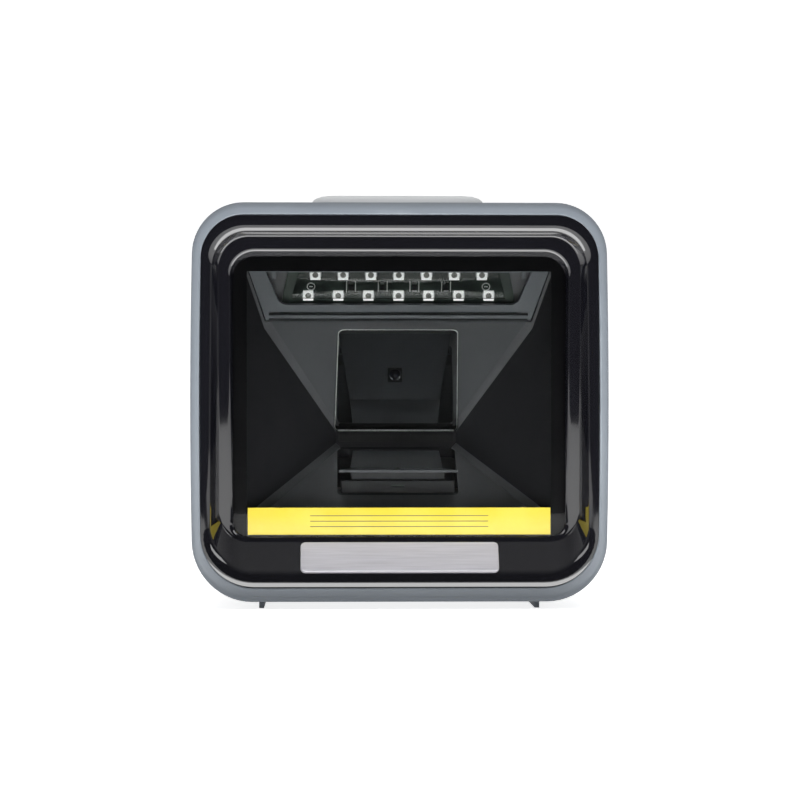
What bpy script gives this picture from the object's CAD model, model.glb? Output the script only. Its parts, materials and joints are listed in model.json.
"""Looks of the presentation barcode scanner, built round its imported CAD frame.

Metres, in the CAD's frame: X to the right, -Y out of the window, Z up. Every piece's place comes from the
frame's boxes and from the named sizes below.
"""
import json
import math

import bmesh
import bpy
from mathutils import Matrix, Vector


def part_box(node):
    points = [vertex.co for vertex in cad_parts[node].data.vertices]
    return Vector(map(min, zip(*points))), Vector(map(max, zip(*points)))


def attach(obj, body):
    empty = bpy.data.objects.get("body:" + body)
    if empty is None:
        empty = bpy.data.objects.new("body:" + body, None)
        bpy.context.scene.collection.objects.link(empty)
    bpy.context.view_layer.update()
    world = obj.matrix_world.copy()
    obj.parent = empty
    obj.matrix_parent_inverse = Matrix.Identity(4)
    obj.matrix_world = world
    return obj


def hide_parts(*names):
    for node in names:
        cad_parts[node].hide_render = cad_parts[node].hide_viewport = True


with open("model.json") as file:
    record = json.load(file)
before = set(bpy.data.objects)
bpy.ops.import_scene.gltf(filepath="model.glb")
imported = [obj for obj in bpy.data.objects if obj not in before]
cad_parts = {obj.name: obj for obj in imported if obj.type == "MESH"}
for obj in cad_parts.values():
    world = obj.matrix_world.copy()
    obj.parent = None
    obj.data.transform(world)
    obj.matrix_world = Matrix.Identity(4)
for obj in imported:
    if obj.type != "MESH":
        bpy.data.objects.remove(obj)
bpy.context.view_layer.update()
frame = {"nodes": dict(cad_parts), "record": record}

MM = 0.001
CASE = "case"
KEY_BODY = "key"
CORNER_SEGMENTS = 14
SIDE_CUTS = 7
DRAW_APART = 30 * MM
SMOOTH_ANGLE = math.radians(28)

# Places read from the frame
housing_low, housing_high = (Vector(corner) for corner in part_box("rear_housing"))
window_low, window_high = (Vector(corner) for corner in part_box("scan_window"))
strip_low, strip_high = (Vector(corner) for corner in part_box("yellow_strip"))
key_low, key_high = (Vector(corner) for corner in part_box("top_key"))
FRONT = housing_low.y
BACK = housing_high.y
BASE = housing_low.z
TOP = housing_high.z
HALF = housing_high.x
WINDOW_FRONT = window_low.y

# Housing
RIM_ROUND = 2.3 * MM
LIP_ROUND = 0.45 * MM
WALL = 2.4 * MM
TOP_CORNER = 17 * MM
BOTTOM_CORNER = 20 * MM
PAD_HEIGHT = 0.8 * MM
BACK_ROUND_LENGTH = 34 * MM
BACK_INSET = 8 * MM
BACK_LIFT = 6 * MM
SIDE_BULGE = 0.014

# Bezel steps, set in from the housing's outline: sides, top, bottom, upper and lower corner
LIP_EDGE = (3.1, 4.15, 4.65, 14.2, 18)
BEZEL_EDGE = (3.3, 4.3, 4.8, 14, 18)
MOUTH = (6.3, 9.3, 9.4, 12, 15)
FIRST_STEP = (9.4, 11.1, 19.8, 10, 10)
SECOND_STEP = (13, 16.2, 20.4, 8.4, 7)
THROAT_STEP = (14.1, 17.7, 21.4, 7.5, 4)
FACE_RECESS = 0.8 * MM
FACE_LEAN = 0.32 * MM
STEP_DEPTH_TOP = 4.5 * MM
STEP_DEPTH_BOTTOM = 8.2 * MM
BEZEL_DEPTH = 14 * MM


# ---------------------------------------------------------------- shared mesh steps


def depth(distance):
    """The Y of a plane so far behind the front rim."""
    return FRONT + distance


def new_edges(bm, before):
    return [edge for edge in bm.edges if edge not in before]


def rounded_ring(bm, half, low, high, corner, low_corner, y, y_top=None):
    """An upright rounded rectangle of edges. Its plane leans from y at its foot to y_top at its head."""
    before = set(bm.edges)
    corners = [(-half, low), (half, low), (half, high), (-half, high)]
    verts = [bm.verts.new((x, 0, z)) for x, z in corners]
    bm.faces.new(verts)
    arguments = dict(segments=CORNER_SEGMENTS, profile=0.5, affect="VERTICES", material=-1)
    bmesh.ops.bevel(bm, geom=verts[2:], offset=corner, **arguments)
    lower = [v for edge in new_edges(bm, before) for v in edge.verts if abs(v.co.z - low) < 1e-9]
    bmesh.ops.bevel(bm, geom=list(set(lower)), offset=low_corner, **arguments)
    edges = new_edges(bm, before)
    bmesh.ops.delete(bm, geom=[edges[0].link_faces[0]], context="FACES_ONLY")
    edges = new_edges(bm, before)
    long_sides = [edge for edge in edges if edge.calc_length() > corner]
    if len(long_sides) == 4:
        bmesh.ops.subdivide_edges(bm, edges=long_sides, cuts=SIDE_CUTS)
    edges = new_edges(bm, before)
    y_top = y if y_top is None else y_top
    for vert in {v for edge in edges for v in edge.verts}:
        vert.co.y = y + (y_top - y) * (vert.co.z - low) / (high - low)
    return edges


def inset_ring(bm, inset, y, y_top=None):
    sides, top, bottom, corner, low_corner = (size * MM for size in inset)
    return rounded_ring(bm, HALF - sides, BASE + bottom, TOP - top, corner, low_corner, y, y_top)


def ring_verts(edges):
    return list({vert for edge in edges for vert in edge.verts})


def middle_along(verts, axis):
    return sum(vert.co[axis] for vert in verts) / len(verts)


def edges_of(verts):
    return {edge for vert in verts for edge in vert.link_edges}


def extrude(bm, faces, by):
    """Draws faces out along a vector."""
    moved = bmesh.ops.extrude_face_region(bm, geom=faces)["geom"]
    verts = [item for item in moved if isinstance(item, bmesh.types.BMVert)]
    bmesh.ops.translate(bm, verts=verts, vec=by)


def bridge(bm, rings, closed=False):
    """Joins rings in turn. Each pair is drawn well apart meanwhile, so that flat ones don't twist."""
    pairs = list(zip(rings, rings[1:]))
    if closed:
        pairs.append((rings[-1], rings[0]))
    for first, second in pairs:
        verts = ring_verts(second)
        heights = [vert.co.z for vert in verts]
        axis = 2 if max(heights) - min(heights) < 1e-6 else 1
        behind = middle_along(verts, axis) < middle_along(ring_verts(first), axis)
        away = Vector()
        away[axis] = -DRAW_APART if behind else DRAW_APART
        bmesh.ops.translate(bm, verts=verts, vec=away)
        bmesh.ops.bridge_loops(bm, edges=first + second)
        bmesh.ops.translate(bm, verts=verts, vec=-away)


def bridge_flat_frame(bm, outer, inner, front, back):
    """A flat frame between two rounded outlines and two depths."""
    places = ((outer, back), (outer, front), (inner, front), (inner, back))
    bridge(bm, [rounded_ring(bm, *size, y) for size, y in places], closed=True)


def fillet(bm, edges, radius, segments=4):
    bmesh.ops.bevel(
        bm, geom=edges, offset=radius, segments=segments, profile=0.5, affect="EDGES", material=-1
    )


def cap(bm, edges):
    bmesh.ops.edgeloop_fill(bm, edges=edges)


def finished(name, bm, body=CASE, stands_for=(), angle=SMOOTH_ANGLE):
    """Turns a bmesh into a smooth-shaded piece that rides on a body."""
    bmesh.ops.remove_doubles(bm, verts=bm.verts, dist=1e-7)
    bmesh.ops.recalc_face_normals(bm, faces=bm.faces)
    mesh = bpy.data.meshes.new(name)
    bm.to_mesh(mesh)
    bm.free()
    piece = bpy.data.objects.new(name, mesh)
    bpy.context.scene.collection.objects.link(piece)
    shade(piece, angle)
    if body:
        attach(piece, body)
    if stands_for:
        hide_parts(*stands_for)
    return piece


def shade(piece, angle=SMOOTH_ANGLE):
    piece.data.shade_smooth()
    piece.data.set_sharp_from_angle(angle=angle)


def cut(piece, cutters, angle=SMOOTH_ANGLE):
    """Takes the cutters out of a piece for good, and removes them."""
    for cutter in cutters:
        modifier = piece.modifiers.new("cut", "BOOLEAN")
        modifier.object = cutter
        modifier.solver = "EXACT"
    bpy.context.view_layer.update()
    graph = bpy.context.evaluated_depsgraph_get()
    mesh = bpy.data.meshes.new_from_object(piece.evaluated_get(graph))
    piece.modifiers.clear()
    piece.data = mesh
    for cutter in cutters:
        bpy.data.objects.remove(cutter)
    shade(piece, angle)
    even = piece.modifiers.new("even_normals", "WEIGHTED_NORMAL")
    even.keep_sharp = True


def rod(bm, radius, start, end, segments=32, end_radius=None):
    """A closed round bar between two points."""
    start, end = Vector(start), Vector(end)
    along = end - start
    turn = along.to_track_quat("Z", "Y").to_matrix().to_4x4()
    matrix = Matrix.Translation((start + end) / 2) @ turn
    return bmesh.ops.create_cone(
        bm, cap_ends=True, segments=segments, radius1=radius,
        radius2=radius if end_radius is None else end_radius, depth=along.length, matrix=matrix,
    )["verts"]


def bar(bm, low, high, rounding=0.0, segments=3):
    """A closed box between two corners, with rounded edges."""
    low, high = Vector(low), Vector(high)
    size = Matrix.Diagonal((*(high - low), 1))
    verts = bmesh.ops.create_cube(bm, size=1, matrix=Matrix.Translation((low + high) / 2) @ size)["verts"]
    if rounding:
        fillet(bm, list(edges_of(verts)), rounding, segments)
    return verts


def cutter_from(bm):
    return finished("cutter", bm, body=None)


def tilted(base, angle):
    """Turns a shape modelled upright so that it lies on a slope: about X, at a point."""
    return Matrix.Translation(base) @ Matrix.Rotation(angle, 4, "X")


def place(bm, matrix, verts=None):
    bmesh.ops.transform(bm, matrix=matrix, verts=verts or bm.verts)


# ---------------------------------------------------------------- shared shader groups


def new_group(name, inputs, outputs):
    """A shader group with named float or colour inputs (name, kind, default) and outputs."""
    group = bpy.data.node_groups.new(name, "ShaderNodeTree")
    for label, kind, default in inputs:
        socket = group.interface.new_socket(label, in_out="INPUT", socket_type=kind)
        socket.default_value = default
    for label, kind in outputs:
        group.interface.new_socket(label, in_out="OUTPUT", socket_type=kind)
    nodes = group.nodes
    return group, nodes, group.links, nodes.new("NodeGroupInput"), nodes.new("NodeGroupOutput")


FLOAT = "NodeSocketFloat"
COLOUR = "NodeSocketColor"


def noise(nodes, links, scale, detail, source):
    node = nodes.new("ShaderNodeTexNoise")
    node.inputs["Detail"].default_value = detail
    links.new(source, node.inputs["Vector"])
    if isinstance(scale, (int, float)):
        node.inputs["Scale"].default_value = scale
    else:
        links.new(scale, node.inputs["Scale"])
    return node.outputs["Fac"]


def remap(nodes, links, source, low, high, to_low, to_high):
    node = nodes.new("ShaderNodeMapRange")
    node.inputs["From Min"].default_value = low
    node.inputs["From Max"].default_value = high
    for label, value in (("To Min", to_low), ("To Max", to_high)):
        if isinstance(value, (int, float)):
            node.inputs[label].default_value = value
        else:
            links.new(value, node.inputs[label])
    links.new(source, node.inputs["Value"])
    return node.outputs["Result"]


def arithmetic(nodes, links, operation, first, second):
    node = nodes.new("ShaderNodeMath")
    node.operation = operation
    for socket, value in zip(node.inputs, (first, second)):
        if isinstance(value, (int, float)):
            socket.default_value = value
        else:
            links.new(value, socket)
    return node.outputs["Value"]


def build_surface_group():
    """Moulded or finished surface: fine grain, slow shade drift, handling smudges, wear on edges."""
    inputs = [
        ("Colour", COLOUR, (0.5, 0.5, 0.5, 1)),
        ("Roughness", FLOAT, 0.5),
        ("Grain Scale", FLOAT, 2500.0),
        ("Grain Strength", FLOAT, 0.1),
        ("Drift", FLOAT, 0.05),
        ("Smudge", FLOAT, 0.08),
        ("Edge Wear", FLOAT, 0.1),
        ("Wear Colour", COLOUR, (0.8, 0.8, 0.8, 1)),
    ]
    outputs = [("Colour", COLOUR), ("Roughness", FLOAT), ("Height", FLOAT)]
    group, nodes, links, given, out = new_group("surface finish", inputs, outputs)
    place_on_object = nodes.new("ShaderNodeTexCoord").outputs["Object"]
    grain = noise(nodes, links, given.outputs["Grain Scale"], 3, place_on_object)
    slow = noise(nodes, links, 22, 2, place_on_object)
    smear = noise(nodes, links, 90, 5, place_on_object)

    drift = remap(nodes, links, slow, 0.3, 0.7, -1, 1)
    speck = remap(nodes, links, grain, 0.3, 0.7, -0.35, 0.35)
    shade_change = arithmetic(nodes, links, "ADD", drift, speck)
    shade_change = arithmetic(nodes, links, "MULTIPLY", shade_change, given.outputs["Drift"])
    brightness = arithmetic(nodes, links, "ADD", shade_change, 1)
    tinted = nodes.new("ShaderNodeVectorMath")
    tinted.operation = "SCALE"
    links.new(given.outputs["Colour"], tinted.inputs[0])
    links.new(brightness, tinted.inputs["Scale"])

    edge = nodes.new("ShaderNodeNewGeometry").outputs["Pointiness"]
    worn = remap(nodes, links, edge, 0.53, 0.62, 0, 1)
    patchy = remap(nodes, links, smear, 0.42, 0.62, 0.2, 1)
    worn = arithmetic(nodes, links, "MULTIPLY", worn, patchy)
    worn = arithmetic(nodes, links, "MULTIPLY", worn, given.outputs["Edge Wear"])
    mixed = nodes.new("ShaderNodeMix")
    mixed.data_type = "RGBA"
    links.new(worn, mixed.inputs["Factor"])
    links.new(tinted.outputs["Vector"], mixed.inputs[6])
    links.new(given.outputs["Wear Colour"], mixed.inputs[7])
    links.new(mixed.outputs[2], out.inputs["Colour"])

    smudge = remap(nodes, links, smear, 0.35, 0.7, -0.5, 1)
    smudge = arithmetic(nodes, links, "MULTIPLY", smudge, given.outputs["Smudge"])
    rough = arithmetic(nodes, links, "ADD", smudge, given.outputs["Roughness"])
    links.new(rough, out.inputs["Roughness"])
    height = arithmetic(nodes, links, "MULTIPLY", grain, given.outputs["Grain Strength"])
    links.new(height, out.inputs["Height"])
    return group


def build_brushing_group():
    """Fine straight scratches along X, as on brushed sheet."""
    inputs = [("Colour", COLOUR, (0.7, 0.7, 0.7, 1)), ("Roughness", FLOAT, 0.3), ("Depth", FLOAT, 0.2)]
    outputs = [("Colour", COLOUR), ("Roughness", FLOAT), ("Height", FLOAT)]
    group, nodes, links, given, out = new_group("brushed sheet", inputs, outputs)
    stretched = nodes.new("ShaderNodeMapping")
    stretched.inputs["Scale"].default_value = (60, 4000, 4000)
    links.new(nodes.new("ShaderNodeTexCoord").outputs["Object"], stretched.inputs["Vector"])
    line = noise(nodes, links, 1, 3, stretched.outputs["Vector"])
    brightness = remap(nodes, links, line, 0.3, 0.7, 0.88, 1.1)
    tinted = nodes.new("ShaderNodeVectorMath")
    tinted.operation = "SCALE"
    links.new(given.outputs["Colour"], tinted.inputs[0])
    links.new(brightness, tinted.inputs["Scale"])
    links.new(tinted.outputs["Vector"], out.inputs["Colour"])
    change = remap(nodes, links, line, 0.3, 0.7, -0.06, 0.08)
    links.new(arithmetic(nodes, links, "ADD", change, given.outputs["Roughness"]), out.inputs["Roughness"])
    links.new(arithmetic(nodes, links, "MULTIPLY", line, given.outputs["Depth"]), out.inputs["Height"])
    return group


surface_group = build_surface_group()
brushing_group = build_brushing_group()


# ---------------------------------------------------------------- materials


def bare_material(name):
    made = bpy.data.materials.new(name)
    made.use_nodes = True
    nodes = made.node_tree.nodes
    return made, nodes, made.node_tree.links, nodes["Principled BSDF"]


def colour(red, green, blue):
    return (red, green, blue, 1)


def surface(name, base, roughness, metallic=0.0, grain=(2500, 0.3), bump=0.02, drift=0.05,
            smudge=0.06, wear=0.1, worn=(0.75, 0.75, 0.75), coat=0.0, specular=0.5, glow=0.0):
    """A solid finish whose colour, roughness and relief come from the surface group."""
    made, nodes, links, shader = bare_material(name)
    finish = nodes.new("ShaderNodeGroup")
    finish.node_tree = surface_group
    values = {
        "Colour": colour(*base),
        "Roughness": roughness,
        "Grain Scale": grain[0],
        "Grain Strength": grain[1],
        "Drift": drift,
        "Smudge": smudge,
        "Edge Wear": wear,
        "Wear Colour": colour(*worn),
    }
    for label, value in values.items():
        finish.inputs[label].default_value = value
    links.new(finish.outputs["Colour"], shader.inputs["Base Color"])
    links.new(finish.outputs["Roughness"], shader.inputs["Roughness"])
    relief = nodes.new("ShaderNodeBump")
    relief.inputs["Strength"].default_value = 0.35
    relief.inputs["Distance"].default_value = bump * MM
    links.new(finish.outputs["Height"], relief.inputs["Height"])
    links.new(relief.outputs["Normal"], shader.inputs["Normal"])
    shader.inputs["Metallic"].default_value = metallic
    shader.inputs["Coat Weight"].default_value = coat
    shader.inputs["Specular IOR Level"].default_value = specular
    shader.inputs["Emission Color"].default_value = (1, 1, 1, 1)
    shader.inputs["Emission Strength"].default_value = glow
    return made


def brushed(name, base, roughness, depth_of_lines, metallic=1.0):
    made, nodes, links, shader = bare_material(name)
    finish = nodes.new("ShaderNodeGroup")
    finish.node_tree = brushing_group
    finish.inputs["Colour"].default_value = colour(*base)
    finish.inputs["Roughness"].default_value = roughness
    finish.inputs["Depth"].default_value = depth_of_lines
    links.new(finish.outputs["Colour"], shader.inputs["Base Color"])
    links.new(finish.outputs["Roughness"], shader.inputs["Roughness"])
    relief = nodes.new("ShaderNodeBump")
    relief.inputs["Strength"].default_value = 0.2
    relief.inputs["Distance"].default_value = 0.01 * MM
    links.new(finish.outputs["Height"], relief.inputs["Height"])
    links.new(relief.outputs["Normal"], shader.inputs["Normal"])
    shader.inputs["Metallic"].default_value = metallic
    return made


def clear_pane(name, tint, haze_roughness):
    """A clear sheet seen straight through, with a mirror-like sheen that grows with the angle."""
    made, nodes, links, shader = bare_material(name)
    nodes.remove(shader)
    through = nodes.new("ShaderNodeBsdfTransparent")
    through.inputs["Color"].default_value = colour(*tint)
    sheen = nodes.new("ShaderNodeBsdfGlossy")
    haze = noise(nodes, links, 60, 4, nodes.new("ShaderNodeTexCoord").outputs["Object"])
    links.new(remap(nodes, links, haze, 0.4, 0.8, 0.01, haze_roughness), sheen.inputs["Roughness"])
    angle = nodes.new("ShaderNodeFresnel")
    angle.inputs["IOR"].default_value = 1.5
    pane = nodes.new("ShaderNodeMixShader")
    links.new(angle.outputs["Fac"], pane.inputs["Fac"])
    links.new(through.outputs["BSDF"], pane.inputs[1])
    links.new(sheen.outputs["BSDF"], pane.inputs[2])
    links.new(pane.outputs["Shader"], nodes["Material Output"].inputs["Surface"])
    return made


HOUSING_GREY = (0.150, 0.170, 0.194)

housing_plastic = surface(
    "housing grey plastic", HOUSING_GREY, 0.42, grain=(2600, 0.5), bump=0.03, drift=0.04,
    smudge=0.025, wear=0.18, worn=(0.42, 0.45, 0.49),
)
key_plastic = surface(
    "key light grey plastic", (0.55, 0.56, 0.57), 0.4, grain=(2600, 0.4), bump=0.02, drift=0.03,
    smudge=0.08, wear=0.12, worn=(0.78, 0.77, 0.75),
)
piano_black = surface(
    "bezel piano black", (0.0045, 0.0045, 0.0065), 0.045, grain=(700, 0.2), bump=0.004, drift=0.1,
    smudge=0.02, wear=0.1, worn=(0.05, 0.05, 0.055), coat=1.0, specular=0.8,
)
hood_plastic = surface(
    "hood matt black plastic", (0.080, 0.084, 0.090), 0.5, grain=(1800, 0.7), bump=0.05, drift=0.12,
    smudge=0.08, wear=0.25, worn=(0.16, 0.165, 0.17),
)
hood_side_plastic = surface(
    "hood side light trap texture", (0.016, 0.016, 0.019), 0.7, grain=(1500, 1.0), bump=0.08, drift=0.1,
    smudge=0.04, wear=0.1, worn=(0.08, 0.08, 0.09), specular=0.3,
)
hood_corner_plastic = surface(
    "hood polished corner", (0.095, 0.098, 0.105), 0.35, grain=(1800, 0.4), bump=0.03, drift=0.1,
    smudge=0.08, wear=0.25, worn=(0.2, 0.2, 0.21),
)
hood_floor_plastic = surface(
    "hood floor satin", (0.19, 0.195, 0.205), 0.45, grain=(1800, 0.5), bump=0.04, drift=0.1,
    smudge=0.06, wear=0.2, worn=(0.26, 0.265, 0.27),
)
frame_plastic = surface(
    "light frame grey plastic", (0.115, 0.128, 0.142), 0.45, grain=(2000, 0.5), bump=0.03, drift=0.08,
    smudge=0.08, wear=0.25, worn=(0.30, 0.31, 0.33),
)
cover_front_plastic = surface(
    "camera cover front dark plastic", (0.024, 0.025, 0.028), 0.5, grain=(1800, 0.6), bump=0.04,
    drift=0.1, smudge=0.08, wear=0.2, worn=(0.10, 0.105, 0.11),
)
cover_plastic = surface(
    "camera cover grey plastic", (0.090, 0.096, 0.106), 0.5, grain=(1800, 0.6), bump=0.04, drift=0.1,
    smudge=0.08, wear=0.25, worn=(0.16, 0.165, 0.17),
)
chip_plastic = surface(
    "chip black epoxy", (0.018, 0.018, 0.02), 0.5, grain=(3000, 0.6), bump=0.02, drift=0.1, wear=0.1,
    worn=(0.15, 0.15, 0.15),
)
board_mask = surface(
    "board dark green mask", (0.022, 0.034, 0.030), 0.34, grain=(1500, 0.4), bump=0.01, drift=0.15,
    smudge=0.06, wear=0.1, worn=(0.12, 0.2, 0.12),
)
silk_white = surface("board silk print", (0.70, 0.72, 0.70), 0.6, grain=(4000, 0.5), drift=0.1)
led_package = surface(
    "led white package", (0.88, 0.88, 0.87), 0.4, grain=(4000, 0.3), drift=0.05, wear=0.0, glow=0.55,
)
led_gel = surface(
    "led gel and die", (0.24, 0.24, 0.22), 0.15, grain=(5000, 0.6), drift=0.3, wear=0.0, coat=0.8,
)
solder_tin = surface(
    "tinned terminals", (0.66, 0.67, 0.68), 0.3, metallic=1, grain=(3500, 0.6), bump=0.02, drift=0.15,
)
shield_tin = brushed("shield tinned sheet", (0.62, 0.63, 0.65), 0.32, 0.4)
plate_metal = brushed("plate satin aluminium", (0.60, 0.59, 0.63), 0.42, 0.15, metallic=0.6)
screw_zinc = surface(
    "screw zinc plate", (0.55, 0.56, 0.58), 0.32, metallic=1, grain=(2500, 0.6), bump=0.02, drift=0.12,
)
spring_wire = surface(
    "spring drawn wire", (0.52, 0.53, 0.55), 0.28, metallic=1, grain=(3000, 0.5), bump=0.01, drift=0.12,
)
insert_brass = surface(
    "insert turned brass", (0.62, 0.45, 0.18), 0.3, metallic=1, grain=(2500, 0.6), bump=0.02, drift=0.15,
)
contact_gold = surface(
    "contact gold plate", (0.85, 0.62, 0.25), 0.22, metallic=1, grain=(3000, 0.4), bump=0.01, drift=0.1,
)
gasket_foam = surface(
    "gasket black foam", (0.012, 0.012, 0.013), 0.9, grain=(900, 1.0), bump=0.12, drift=0.3, wear=0.0,
)
window_print = surface(
    "window black print", (0.005, 0.005, 0.006), 0.3, grain=(1200, 0.3), drift=0.1, wear=0.0,
    smudge=0.0, specular=0.1,
)
strip_film = surface(
    "strip yellow film", (0.66, 0.52, 0.03), 0.42, grain=(1800, 0.4), bump=0.01, drift=0.05,
    smudge=0.06, wear=0.1, worn=(0.9, 0.85, 0.4),
)
strip_ink = surface("strip grey ink", (0.14, 0.12, 0.04), 0.5, grain=(2500, 0.5), drift=0.2, wear=0.0)
label_film = surface(
    "label pale film", (0.62, 0.62, 0.63), 0.4, grain=(2200, 0.4), bump=0.01, drift=0.05, smudge=0.08,
)
ribbon_film = surface(
    "ribbon orange film", (0.42, 0.17, 0.04), 0.3, grain=(1500, 0.3), drift=0.15, wear=0.0,
)
connector_nylon = surface(
    "connector cream nylon", (0.72, 0.68, 0.56), 0.45, grain=(2500, 0.4), drift=0.08,
)
mirror_silver = surface(
    "mirror front silver", (0.80, 0.82, 0.83), 0.012, metallic=1, grain=(300, 0.1), bump=0.0005,
    drift=0.03, smudge=0.01, wear=0.0,
)
mirror_edge = surface(
    "mirror ground glass edge", (0.78, 0.82, 0.80), 0.3, grain=(1100, 1.0), bump=0.15, drift=0.5,
    wear=0.6, worn=(0.9, 0.92, 0.92),
)
lens_coating = surface(
    "lens coated glass", (0.01, 0.012, 0.03), 0.03, grain=(400, 0.1), bump=0.001, drift=0.2, coat=1,
    smudge=0.01, wear=0.0,
)
window_pane = clear_pane("window clear pane", (0.97, 0.975, 0.97), 0.03)
cover_pane = clear_pane("light cover clear plastic", (0.93, 0.94, 0.94), 0.12)
pipe_plastic = surface(
    "status light frosted plastic", (0.72, 0.76, 0.76), 0.35, grain=(2000, 0.5), drift=0.06, wear=0.0,
)

FINISH_OF_SLOT = {
    "housing_grey": housing_plastic,
    "bezel_black": piano_black,
    "window_glass": window_pane,
    "gasket_rubber": gasket_foam,
    "strip_yellow": strip_film,
    "plate_silver": plate_metal,
    "hood_black": hood_plastic,
    "frame_grey": frame_plastic,
    "cover_clear": cover_pane,
    "board_green": board_mask,
    "led_white": led_package,
    "chip_black": chip_plastic,
    "mirror_silver": mirror_silver,
    "lens_glass": lens_coating,
    "ribbon_orange": ribbon_film,
    "connector_cream": connector_nylon,
    "shield_tin": shield_tin,
    "key_light_grey": key_plastic,
    "spring_steel": spring_wire,
    "screw_steel": screw_zinc,
    "insert_brass": insert_brass,
    "pipe_clear": pipe_plastic,
    "label_grey": label_film,
    "rail_grey": housing_plastic,
}


def dress_frame_nodes():
    """Gives every CAD node that stays in sight or inside the procedural finish of its slot."""
    slot_of = {entry["node"]: entry["material_slot"] for entry in frame["record"]["subparts"]}
    for node, thing in frame["nodes"].items():
        thing.data.materials.clear()
        thing.data.materials.append(FINISH_OF_SLOT[slot_of[node]])


def dress(piece, slot, *materials):
    for made in materials:
        piece.data.materials.append(made)
    return piece


# ---------------------------------------------------------------- housing


def furthered(inset, by):
    sides, top, bottom, corner, low_corner = inset
    return (sides + by, top + by, bottom + by, corner - by, low_corner - by)


def housing_back_rings(bm, wall):
    """The rings that draw the housing in towards its flat back."""
    rings = []
    steps = 12
    rear = BACK - PAD_HEIGHT
    start = rear - BACK_ROUND_LENGTH
    for step in range(steps + 1):
        angle = step / steps * math.pi / 2
        share = 1 - math.cos(angle)
        sides = (wall + BACK_INSET * share) / MM
        bottom = (wall + BACK_LIFT * share) / MM
        inset = (sides, sides, bottom, (TOP_CORNER - wall) / MM, (BOTTOM_CORNER - wall) / MM)
        y = start + (BACK_ROUND_LENGTH - wall) * math.sin(angle)
        rings.append(inset_ring(bm, inset, y))
    return rings


def bulge_sides(bm):
    """The housing's sides swell a little, and draw in towards its top and bottom."""
    middle = (TOP + BASE) / 2
    reach = (TOP - BASE) / 2
    for vert in bm.verts:
        share = (vert.co.z - middle) / reach
        vert.co.x *= 1 - SIDE_BULGE * share * share


def hollow_cylinder_cutter(places, radius, y0, y1):
    bm = bmesh.new()
    for x, z in places:
        rod(bm, radius, (x, y0, z), (x, y1, z))
    return cutter_from(bm)


def box_of(node):
    return [Vector(corner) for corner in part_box(node)]


def middle_of(*nodes):
    """The X and Z middles of nodes that face the rear."""
    places = []
    for node in nodes:
        low, high = box_of(node)
        places.append(((low.x + high.x) / 2, (low.z + high.z) / 2))
    return places


def grown_box_cutter(low, high, rounding=0.0):
    bm = bmesh.new()
    bar(bm, low, high, rounding)
    return cutter_from(bm)


SIDES = ("left", "right")


def key_slot_cutter():
    """The opening that the top key slides in, a little larger than the key."""
    bm = bmesh.new()
    gap = 0.4 * MM
    half = KEY_HALF_WIDTH + gap
    deep = KEY_HALF_DEPTH + gap
    low = key_low.z - 3 * MM
    ring = rounded_ring(bm, half, -deep, deep, KEY_CORNER + gap, KEY_CORNER + gap, 0)
    cap(bm, ring)
    bmesh.ops.rotate(bm, verts=bm.verts, matrix=Matrix.Rotation(math.radians(-90), 3, "X"))
    extrude(bm, bm.faces[:], (0, 0, 30 * MM))
    bmesh.ops.translate(bm, verts=bm.verts, vec=(0, KEY_MIDDLE, low))
    return cutter_from(bm)


KEY_MIDDLE = (key_low.y + key_high.y) / 2
KEY_FLANGE = 2 * MM
KEY_HALF_WIDTH = key_high.x - KEY_FLANGE
KEY_HALF_DEPTH = (key_high.y - key_low.y) / 2 - KEY_FLANGE
KEY_CORNER = 9 * MM


def build_housing():
    bm = bmesh.new()
    lip = inset_ring(bm, LIP_EDGE, depth(0))
    lip_inside = inset_ring(bm, LIP_EDGE, depth(15.1 * MM))
    cavity = housing_back_rings(bm, WALL)
    outline = (0, 0, 0, TOP_CORNER / MM, BOTTOM_CORNER / MM)
    rim = inset_ring(bm, outline, depth(0))
    outside = [inset_ring(bm, outline, depth(12 * MM)), *housing_back_rings(bm, 0)]
    bridge(bm, [*reversed(cavity), lip_inside, lip, rim, *outside])
    cap(bm, cavity[-1])
    cap(bm, outside[-1])
    fillet(bm, rim, RIM_ROUND, 8)
    fillet(bm, lip, LIP_ROUND, 3)
    bulge_sides(bm)
    housing = finished("housing_shell", bm, stands_for=["rear_housing"])

    rear = BACK + 2 * MM
    inside = BACK - 6 * MM
    jack_low, jack_high = box_of("data_jack")
    around = 0.25 * MM
    label_low, label_high = box_of("rating_label")
    gap = Vector((around, 0, around))
    cut(housing, [
        key_slot_cutter(),
        grown_box_cutter(
            (jack_low.x - around, inside, jack_low.z - around),
            (jack_high.x + around, rear, jack_high.z + around), 0.4 * MM,
        ),
        grown_box_cutter(
            Vector((label_low.x, label_low.y - 0.1 * MM, label_low.z)) - gap,
            Vector((label_high.x, rear, label_high.z)) + gap,
        ),
        hollow_cylinder_cutter(middle_of(*(f"case_screw_{side}" for side in SIDES)), 2.9 * MM, inside, rear),
        hollow_cylinder_cutter(sound_hole_places(), 0.9 * MM, inside, rear),
        pipe_cutter(),
    ])
    return dress(housing, "housing_grey", housing_plastic)


def sound_hole_places():
    (x, z), = middle_of("beeper")
    spacing = 3.6 * MM
    ring = [(x + spacing * math.cos(turn * math.pi / 3), z + spacing * math.sin(turn * math.pi / 3))
            for turn in range(6)]
    return [(x, z), *ring]


def pipe_cutter():
    low, high = box_of("light_pipe")
    bm = bmesh.new()
    x, y = (low.x + high.x) / 2, (low.y + high.y) / 2
    rod(bm, (high.x - low.x) / 2 + 0.2 * MM, (x, y, low.z), (x, y, high.z + 3 * MM))
    return cutter_from(bm)


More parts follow.
